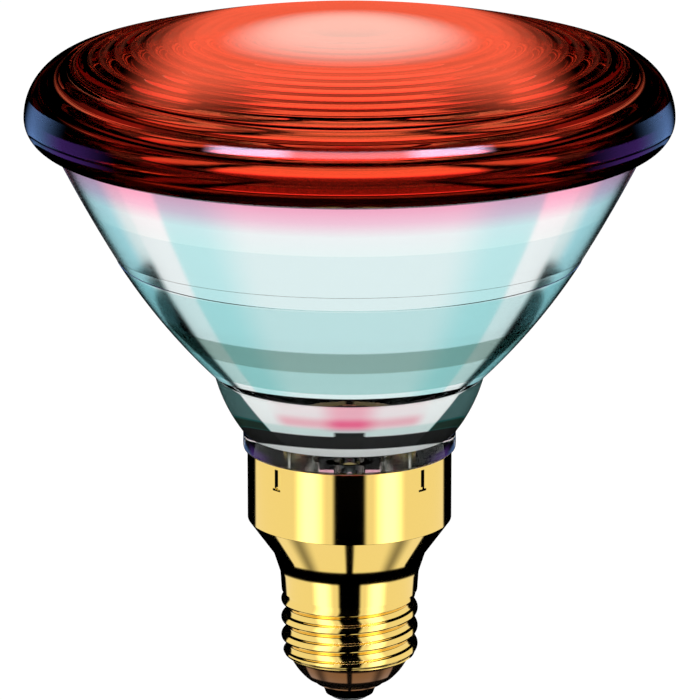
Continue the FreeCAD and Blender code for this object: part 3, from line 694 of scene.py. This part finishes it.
def join(tree, *links):
    """Link the sockets of each row: a node and its output, then a node and its input."""
    for source, output, target, slot in links:
        tree.links.new(source.outputs[output], target.inputs[slot])


def apply_tree(piece, tree, **sizes):
    """Run the tree on the piece with these sizes and keep the result as a plain mesh."""
    modifier = piece.modifiers.new(tree.name, "NODES")
    modifier.node_group = tree
    for item in tree.interface.items_tree:
        if item.in_out == "INPUT" and item.name in sizes:
            modifier[item.identifier] = sizes[item.name]
    bpy.context.view_layer.update()
    evaluated = piece.evaluated_get(bpy.context.evaluated_depsgraph_get())
    mesh = bpy.data.meshes.new_from_object(evaluated)
    piece.modifiers.remove(modifier)
    piece.data = mesh


slot_tree, slot_in, slot_out = new_tree(
    "crimp_slots", Count=4, Radius=0.02, Width=0.001, Length=0.004, Height=0.05
)
nodes = slot_tree.nodes
circle = nodes.new("GeometryNodeMeshCircle")
cutter_size = nodes.new("ShaderNodeCombineXYZ")
cutter_size.inputs["X"].default_value = CUTTER_DEPTH * MM
cutter = nodes.new("GeometryNodeMeshCube")
spread = nodes.new("GeometryNodeInstanceOnPoints")
radial = nodes.new("FunctionNodeAlignRotationToVector")
radial.axis = "X"
position = nodes.new("GeometryNodeInputPosition")
slot_lift = nodes.new("ShaderNodeCombineXYZ")
raise_slots = nodes.new("GeometryNodeTransform")
raise_slots.inputs["Rotation"].default_value = (0, 0, FIRST_SLOT)
realize = nodes.new("GeometryNodeRealizeInstances")
cut = nodes.new("GeometryNodeMeshBoolean")
cut.operation = "DIFFERENCE"
dress = nodes.new("GeometryNodeSetMaterial")
dress.inputs["Material"].default_value = brass
join(
    slot_tree,
    (slot_in, "Count", circle, "Vertices"),
    (slot_in, "Radius", circle, "Radius"),
    (slot_in, "Width", cutter_size, "Y"),
    (slot_in, "Length", cutter_size, "Z"),
    (cutter_size, "Vector", cutter, "Size"),
    (circle, "Mesh", spread, "Points"),
    (cutter, "Mesh", spread, "Instance"),
    (position, "Position", radial, "Vector"),
    (radial, "Rotation", spread, "Rotation"),
    (slot_in, "Height", slot_lift, "Z"),
    (spread, "Instances", raise_slots, "Geometry"),
    (slot_lift, "Vector", raise_slots, "Translation"),
    (raise_slots, "Geometry", realize, "Geometry"),
    (slot_in, "Geometry", cut, "Mesh 1"),
    (realize, "Geometry", cut, "Mesh 2"),
    (cut, "Mesh", dress, "Geometry"),
    (dress, "Geometry", slot_out, "Geometry"),
)

slot_middle = skirt_top - SLOT_DROP - SLOT_LENGTH / 2
foot_height = SLOT_WIDTH / 2
foot_middle = skirt_top - SLOT_DROP - SLOT_LENGTH + foot_height / 2
for width, length, middle in (
    (SLOT_WIDTH, SLOT_LENGTH, slot_middle),
    (SLOT_FOOT, foot_height, foot_middle),
):
    apply_tree(
        skirt, slot_tree, Count=SLOT_COUNT, Radius=SKIRT * MM, Width=width * MM,
        Length=length * MM, Height=middle * MM,
    )
skirt.name = "skirt_brass"
skirt.data.shade_smooth()
skirt.data.set_sharp_from_angle(angle=math.radians(35))
print("skirt", len(skirt.data.polygons), "faces")

# %% [markdown]
# The screw shell is rolled with a round thread. Its radius at any angle and height depends only on how
# far that point is from the nearest crest of the helix, so a grid of points round and up the shell is
# moved in and out by one formula. At both ends the thread runs out into plain metal.

# %% The screw shell
PITCH = 3.629
CREST = 13.15
ROOT = 12.15
THREAD_LENGTH = 12.75
THREAD_START = 1.6
THREAD_END = 0.9
THREAD_TURNED = math.radians(197.6)
SHELL_EDGE = 12.55
SHELL_BORE = 11.75
FIT = 0.02
SLEEVE = COLLAR - WALL - FIT
SLEEVE_SHOW = 0.3
SLEEVE_LENGTH = 4.6
SHELL_TURNS = 320
SHELL_ROWS = 150
shell_z = collar_z - THREAD_LENGTH


def thread_radius(angle, height):
    """Two equal arcs, a crest and a valley, by the distance from the nearest crest of the helix."""
    share = (height - shell_z) / PITCH + 1 - (angle - THREAD_TURNED) / (2 * math.pi)
    share = abs(share - round(share))
    depth = CREST - ROOT
    round_radius = (PITCH**2 / 4 + depth**2) / (4 * depth)
    if share <= 0.25:
        return CREST - round_radius + math.sqrt(round_radius**2 - (PITCH * share) ** 2)
    return ROOT + round_radius - math.sqrt(round_radius**2 - (PITCH * (0.5 - share)) ** 2)


def eased(share):
    return share * share * (3 - 2 * share)


def shell_radius(angle, height):
    """The thread, run out at both ends into the turned edge and the plain sleeve."""
    above = min(1.0, (height - shell_z) / THREAD_END)
    below = min(1.0, max(0.0, (collar_z - SLEEVE_SHOW - height) / THREAD_START))
    radius = SHELL_EDGE + (thread_radius(angle, height) - SHELL_EDGE) * eased(above)
    return SLEEVE + (radius - SLEEVE) * eased(below)


def shell_mesh():
    """The outside follows the thread, the inside is a plain bore, and two rings close the ends."""
    turns = SHELL_TURNS
    top = collar_z + SLEEVE_LENGTH
    heights = [shell_z + THREAD_LENGTH * k / SHELL_ROWS for k in range(SHELL_ROWS + 1)] + [top]
    loops = [[(shell_radius(2 * math.pi * k / turns, z), z) for k in range(turns)] for z in heights]
    loops += [[(SHELL_BORE, top)] * turns, [(SHELL_BORE, shell_z)] * turns]
    points = [round_the_axis(*point, k, turns) for loop in loops for k, point in enumerate(loop)]
    faces = []
    for row in range(len(loops)):
        low = row * turns
        high = (row + 1) % len(loops) * turns
        for k in range(turns):
            after = (k + 1) % turns
            faces.append([low + k, low + after, high + after, high + k])
    mesh = bpy.data.meshes.new("shell")
    mesh.from_pydata(points, [], faces)
    return mesh


shell = new_piece("shell_brass", shell_mesh(), [brass], smooth_below=40)
print("shell", len(shell.data.polygons), "faces")

# %% [markdown]
# Black glass closes the end of the shell. It is poured hot, so its sides bulge and its foot is flat and
# glossy. The eyelet sits in it and the solder dome closes the eyelet.

# %% The black glass and the contact
GLASS_FOOT = 6.6
FOOT_ROUND = 0.5
FOOT_ROUND_RISE = 0.15
HIP = 8.4
HIP_RISE = 1.35
HIP_ROUND = 2.6
FLANK_BOW = 12.0
GLASS_DEPTH = 3.2
DISH_RADIUS = 5.0
DISH_DEPTH = 1.6
PLATE_HOLE = 1.2
PLATE_FOOT = 4.6
PLATE_RIM = 5.4
DROP_FOOT = 1.8
DROP_RADIUS = 4.4
DROP_ROUND = 4.5

hip = (HIP, glass_z + HIP_RISE)
glass_edge = SHELL_BORE - FIT
glass_top = shell_z + GLASS_DEPTH
black = [(PLATE_HOLE, glass_z, 0), (GLASS_FOOT - FOOT_ROUND, glass_z, 0)]
black += arc((GLASS_FOOT, glass_z + FOOT_ROUND_RISE), hip, HIP_ROUND, RIGHT, 8)
black += arc(hip, (glass_edge, shell_z), FLANK_BOW, LEFT, 12)
black += [(glass_edge, shell_z, 0), (glass_edge, glass_top, 0)]
black += [(DISH_RADIUS, glass_top - DISH_DEPTH, 0), (PLATE_HOLE, glass_top - DISH_DEPTH, 0)]
insulator = turned("insulator_glass", black, black_glass)

plate = [(PLATE_HOLE, plate_z, 0), (PLATE_FOOT, plate_z, 0)]
plate += [(PLATE_RIM, glass_z, 0), (PLATE_HOLE, glass_z, 0)]
eyelet = turned("eyelet_brass", plate, brass, smooth_below=12)

tip = [(0.0, 0.0, 0)]
tip += arc((DROP_FOOT, 0.0), (DROP_RADIUS, plate_z), DROP_ROUND, LEFT, 10)
tip += [(DROP_RADIUS, plate_z, 0), (0.0, plate_z, 0)]
tip_solder = turned("tip_drop", tip, solder)

# %% [markdown]
# The filament is a coil of tungsten wire. A Curve Spiral node gives its centreline, a small circle is
# swept along it, and a Transform turns it to lie between the posts.

# %% The coiled filament
FILAMENT_RADIUS = 1.0
WIRE = 0.16
COIL_TURNS = 34.0
STEPS_A_TURN = 20
WIRE_SIDES = 8
filament_low, filament_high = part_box("filament")
coil_tree, coil_in, coil_out = new_tree(
    "coil", Turns=30.0, Radius=0.001, Length=0.02, Wire=0.0002, Height=0.07
)
nodes = coil_tree.nodes
spiral = nodes.new("GeometryNodeCurveSpiral")
spiral.inputs["Resolution"].default_value = STEPS_A_TURN
profile = nodes.new("GeometryNodeCurvePrimitiveCircle")
profile.inputs["Resolution"].default_value = WIRE_SIDES
sweep = nodes.new("GeometryNodeCurveToMesh")
sweep.inputs["Fill Caps"].default_value = True
lay_down = nodes.new("GeometryNodeTransform")
lay_down.inputs["Rotation"].default_value = (0, math.radians(90), 0)
half_back = nodes.new("ShaderNodeMath")
half_back.operation = "MULTIPLY"
half_back.inputs[1].default_value = -0.5
coil_place = nodes.new("ShaderNodeCombineXYZ")
realize_coil = nodes.new("GeometryNodeRealizeInstances")
dress_coil = nodes.new("GeometryNodeSetMaterial")
dress_coil.inputs["Material"].default_value = tungsten
join(
    coil_tree,
    (coil_in, "Turns", spiral, "Rotations"),
    (coil_in, "Radius", spiral, "Start Radius"),
    (coil_in, "Radius", spiral, "End Radius"),
    (coil_in, "Length", spiral, "Height"),
    (coil_in, "Wire", profile, "Radius"),
    (spiral, "Curve", sweep, "Curve"),
    (profile, "Curve", sweep, "Profile Curve"),
    (coil_in, "Length", half_back, 0),
    (half_back, "Value", coil_place, "X"),
    (coil_in, "Height", coil_place, "Z"),
    (sweep, "Mesh", lay_down, "Geometry"),
    (coil_place, "Vector", lay_down, "Translation"),
    (lay_down, "Geometry", realize_coil, "Geometry"),
    (realize_coil, "Geometry", dress_coil, "Geometry"),
    (dress_coil, "Geometry", coil_out, "Geometry"),
)

filament = bpy.data.objects.new("filament_coil", bpy.data.meshes.new("filament_coil"))
bpy.context.scene.collection.objects.link(filament)
apply_tree(
    filament, coil_tree, Turns=COIL_TURNS, Radius=(FILAMENT_RADIUS - WIRE) * MM,
    Length=filament_high.x - filament_low.x, Wire=WIRE * MM,
    Height=(filament_low.z + filament_high.z) / 2,
)
filament.data.shade_smooth()
print("filament", len(filament.data.polygons), "faces")

# %% [markdown]
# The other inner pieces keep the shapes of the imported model: thimbles, posts, bead, wires and the
# sealed tube are small and round already. They get their finishes here.

# %% Finishes of the pieces that stay
KEPT = {
    "exhaust_tube": clear,
    "support_bead": clear,
    "ferrule_left": nickel,
    "ferrule_right": nickel,
    "braze_left": solder,
    "braze_right": solder,
    "lead_post_left": nickel,
    "lead_post_right": nickel,
    "filament_support": nickel,
    "centre_wire": copper,
    "side_wire": copper,
    "side_solder": solder,
}
for node, material in KEPT.items():
    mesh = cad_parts[node].data
    mesh.materials.clear()
    mesh.materials.append(material)
print("kept nodes:", len(KEPT))

# %% Tie each new piece to the body, and hide the node that it stands for
STANDS_FOR = [
    (lens, "lens", "ruby_glass"),
    (reflector, "reflector", "clear_glass"),
    (skirt, "cap_skirt", "brass"),
    (shell, "screw_shell", "brass"),
    (insulator, "insulator", "black_glass"),
    (eyelet, "contact_plate", "brass"),
    (tip_solder, "tip_solder", "solder"),
    (filament, "filament", "tungsten"),
]
for piece, node, material_slot in STANDS_FOR:
    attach(piece, "root")
    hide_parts(node)
print("new pieces:", len(STANDS_FOR))

# %% [markdown]
# The camera stands in front and looks down by fifteen degrees through a long lens, as in the
# photograph: the far rim of the lens still shows above the near one.

# %% The camera
AIM = Vector((0, 0, 0.0696))
DISTANCE = 0.977
ELEVATION = math.radians(15.04)
FOCAL_LENGTH = 264.4
SENSOR = 36
SIDE_SHIFT = 0.0007
camera_data = bpy.data.cameras.new("camera")
camera_data.lens = FOCAL_LENGTH
camera_data.sensor_width = SENSOR
camera_data.shift_x = SIDE_SHIFT
camera = bpy.data.objects.new("camera", camera_data)
back = Vector((0, -math.cos(ELEVATION), math.sin(ELEVATION)))
camera.location = AIM + back * DISTANCE
camera.rotation_euler = (-back).to_track_quat("-Z", "Y").to_euler()
bpy.context.scene.collection.objects.link(camera)
bpy.context.scene.camera = camera
print("camera at", [round(v, 3) for v in camera.location])

# %% [markdown]
# Polished pieces mirror the studio, so the studio is most of their look. A photographer lights such a
# lamp with white screens and puts black cards where a shape needs a dark edge. Here the world is that
# studio: it gives every direction a brightness. The plain light on dull surfaces outside the glass is
# the same from all sides.
#
# Two angles make the cards easy to place. The normal half way between a direction and the camera's is
# that of the surface that mirrors this direction to the camera: its turn says how far round the lamp
# the surface is, and its tilt how far it faces up. Around and up are the angles of the direction
# itself, for what shows through the glass.

# %% The world
PLAIN = 0.75
world = bpy.data.worlds.new("studio")
bpy.context.scene.world = world
world.use_nodes = True
tree = world.node_tree
direction = tree.nodes.new("ShaderNodeTexCoord").outputs["Generated"]
halfway = tree.nodes.new("ShaderNodeVectorMath")
halfway.inputs[1].default_value = back
unit = tree.nodes.new("ShaderNodeVectorMath")
unit.operation = "NORMALIZE"
tree.links.new(direction, halfway.inputs[0])
tree.links.new(halfway.outputs["Vector"], unit.inputs[0])
around, up = angles(tree, direction)
turn, tilt = angles(tree, unit.outputs["Vector"])

# %% Screens and cards for the metal
SCREEN_LEVEL = 0.95
SCREEN_TILT = (-16.5, 40, 2)
UNDER_TILT = (-41.5, -27, 2)
screens = patches(
    turn, tilt,
    ((9, 66, 3), SCREEN_TILT, 1.0),
    ((17, 29, 9), SCREEN_TILT, 1.6),
    ((2.6, 46, 2), UNDER_TILT, 1.0),
    ((26, 35, 10), UNDER_TILT, -0.7),
) * SCREEN_LEVEL
print("world nodes after the screens:", len(tree.nodes))

# %% [markdown]
# The smooth glass has lights of its own. A warm glow fills the middle of the lens and fades to the
# sides. It has a pale heart, and a gain that grows towards the near rim, because glass mirrors less
# where it faces the eye. A long lamp makes the streak on the front of the rim, and blue and violet
# cards tint its sides.

# %% Lights that only the smooth glass shows
WARM_HALF_WIDTH = 0.22
WARM_FRONT = -0.185
WARM_TILT = 60
HEART_AHEAD = 0.02
HEART_NARROW = 55
HEART_SHORT = 100
GAIN = 4
GAIN_AHEAD = -4.5
STREAK_TILT = (28.5, 35.5, 2)
BLUE_TURN = (66, 80, 12)
VIOLET_TURN = (50, 66, 12)
across, ahead, _ = coordinates(tree, unit.outputs["Vector"])
from_heart = ahead + HEART_AHEAD
glow = across * across * HEART_NARROW + from_heart * from_heart * HEART_SHORT
glow = glow.below(0.8, 1.4)
warm = across.maths("ABSOLUTE").below(WARM_HALF_WIDTH, 0.09)
warm *= ahead.above(WARM_FRONT, 0.12) * tilt.above(WARM_TILT, 20)
gain = (ahead * GAIN_AHEAD).maths("EXPONENT") * GAIN
streak = patches(
    turn, tilt,
    ((11.5, 25, 5), STREAK_TILT, 22),
    ((-NO_LIMIT, 12, 4), STREAK_TILT, 5),
)
blue_card = patches(
    turn, tilt,
    (BLUE_TURN, (-1.2, 26, 1), 1.0),
    (BLUE_TURN, (-11, -4.6, 1.5), 0.5),
)
violet_card = patches(
    turn, tilt,
    (VIOLET_TURN, (0.6, 13, 2), 1.0),
    (VIOLET_TURN, (-12, -3.2, 2), 1.0),
)

# %% [markdown]
# Light that comes through the glass makes the bowl. Most of it comes off the mirror coat from below,
# so the bowl's own tints are laid there by turn: teal, then a bright edge, then sky blue at the side.
# Other patches are the white room that shows through the rim and straight through the neck.

# %% What is seen through the glass
beyond = patches(
    around, up,
    ((-NO_LIMIT, 72, 8), (38, NO_LIMIT, 4), 1.56),
    ((82, 110, 8), (21, 34, 6), 1.04),
    ((84, 100, 6), (13, 20, 4), 1.0),
)
behind = patches(
    around, up,
    ((174, NO_LIMIT, 3), (-30, -12, 4), 1.0),
    ((172, NO_LIMIT, 4), (-12, 12, 4), 0.15),
)
BOWL_TURN = 76
BOWL_UP = -9
TEAL_TURN = (28, 43.5)
BRIGHT_TURN = (44, 54)
SKY_TURN = 60
dark_side = patches(turn, tilt, ((54.5, NO_LIMIT, 4), (-NO_LIMIT, -26.7, 1), -1.0))
bowl_seen = up.below(BOWL_UP, 6) * turn.below(BOWL_TURN, 10) * (dark_side + 1)
teal = turn.above(TEAL_TURN[0], 14) * turn.below(TEAL_TURN[1], 1.5)
bright_edge = turn.within(*BRIGHT_TURN, 2)
sky_edge = turn.above(SKY_TURN, 8)
print("world nodes with the glass:", len(tree.nodes))

# %% [markdown]
# Light Path tells the rays apart. The camera sees white. A mirrored ray sees the lights of the glass
# when its surface is perfectly smooth, which only the clear and ruby glass is, and the screens
# otherwise. A ray through the glass sees the bowl's light, unless it left a dull surface inside: light
# has to cross the glass twice to reach the eye from there, so it gets a higher level.

# %% One light for each kind of ray
INSIDE = 1.7
STREAK_COLOUR = (0.9, 0.65, 1.0)
BLUE_COLOUR = (0.32, 0.60, 1.3)
VIOLET_COLOUR = (0.35, 0.12, 0.9)
WARM_COLOUR = (0.66, 0.085, 0.04)
HEART_COLOUR = (0.12, 0.36, 0.33)
TEAL_CHANGE = (-0.30, -0.06, -0.05)
BRIGHT_CHANGE = (0.18, 0.06, 0.06)
SKY_CHANGE = (-0.45, -0.12, -0.05)
RAYS = ("Is Camera Ray", "Is Glossy Ray", "Is Transmission Ray", "Is Singular Ray")
path = tree.nodes.new("ShaderNodeLightPath")
camera_ray, glossy_ray, clear_ray, sharp_ray = (Field(tree, path.outputs[ray]) for ray in RAYS)
mirrored = glossy_ray * (clear_ray * -1 + 1)
dull_first = Field(tree, path.outputs["Diffuse Depth"]).above(0.5, 0.2)
colour = tree.nodes.new("ShaderNodeCombineColor")
for index, channel in enumerate(CHANNELS):
    glass_light = streak * STREAK_COLOUR[index] + blue_card * BLUE_COLOUR[index]
    glass_light += violet_card * VIOLET_COLOUR[index]
    glass_light += warm * (glow * HEART_COLOUR[index] + WARM_COLOUR[index]) * gain
    gloss = sharp_ray * (glass_light - screens) + screens
    tint = teal * TEAL_CHANGE[index] + bright_edge * BRIGHT_CHANGE[index]
    tint += sky_edge * SKY_CHANGE[index]
    passed = (beyond + bowl_seen * (tint + 1)).maths("MAXIMUM", behind)
    passed = dull_first * (passed * -1 + INSIDE) + passed
    light = camera_ray * (1 - PLAIN) + mirrored * (gloss - PLAIN) + clear_ray * (passed - PLAIN)
    tree.links.new((light + PLAIN).socket, colour.inputs[channel])
tree.links.new(colour.outputs["Color"], tree.nodes["Background"].inputs["Color"])
print("world nodes:", len(tree.nodes))

# %% [markdown]
# The floor is white paper, far enough below for its shadow to be faint. A little glow towards the
# camera lifts it to pure white, as on a light table; mirrors and glass see the studio in its place.

# %% The floor
FLOOR_Z = -0.25
FLOOR_SIDE = 6.0
PAPER = 0.8
PAPER_SEEN = 1.03
signs = ((-1, -1), (1, -1), (1, 1), (-1, 1))
corners = [(x * FLOOR_SIDE, y * FLOOR_SIDE, FLOOR_Z) for x, y in signs]
floor_mesh = bpy.data.meshes.new("floor")
floor_mesh.from_pydata(corners, [], [(0, 1, 2, 3)])
paper = finish("floor_paper", (PAPER, PAPER, PAPER), roughness=0.9)
paper_tree = paper.node_tree
seen = Field(paper_tree, paper_tree.nodes.new("ShaderNodeLightPath").outputs["Is Camera Ray"])
paper_glow = seen * (PAPER_SEEN - PAPER * PLAIN)
shader_of(paper).inputs["Emission Color"].default_value = (1, 1, 1, 1)
shader_of(paper).inputs["Specular IOR Level"].default_value = 0.0
paper_tree.links.new(paper_glow.socket, shader_of(paper).inputs["Emission Strength"])
floor_mesh.materials.append(paper)
floor = bpy.data.objects.new("floor", floor_mesh)
bpy.context.scene.collection.objects.link(floor)
floor.visible_glossy = False
floor.visible_transmission = False
print("floor at", FLOOR_Z)

# %% Look settings
scene = bpy.context.scene
scene.view_settings.view_transform = "Standard"
print("view transform:", scene.view_settings.view_transform)
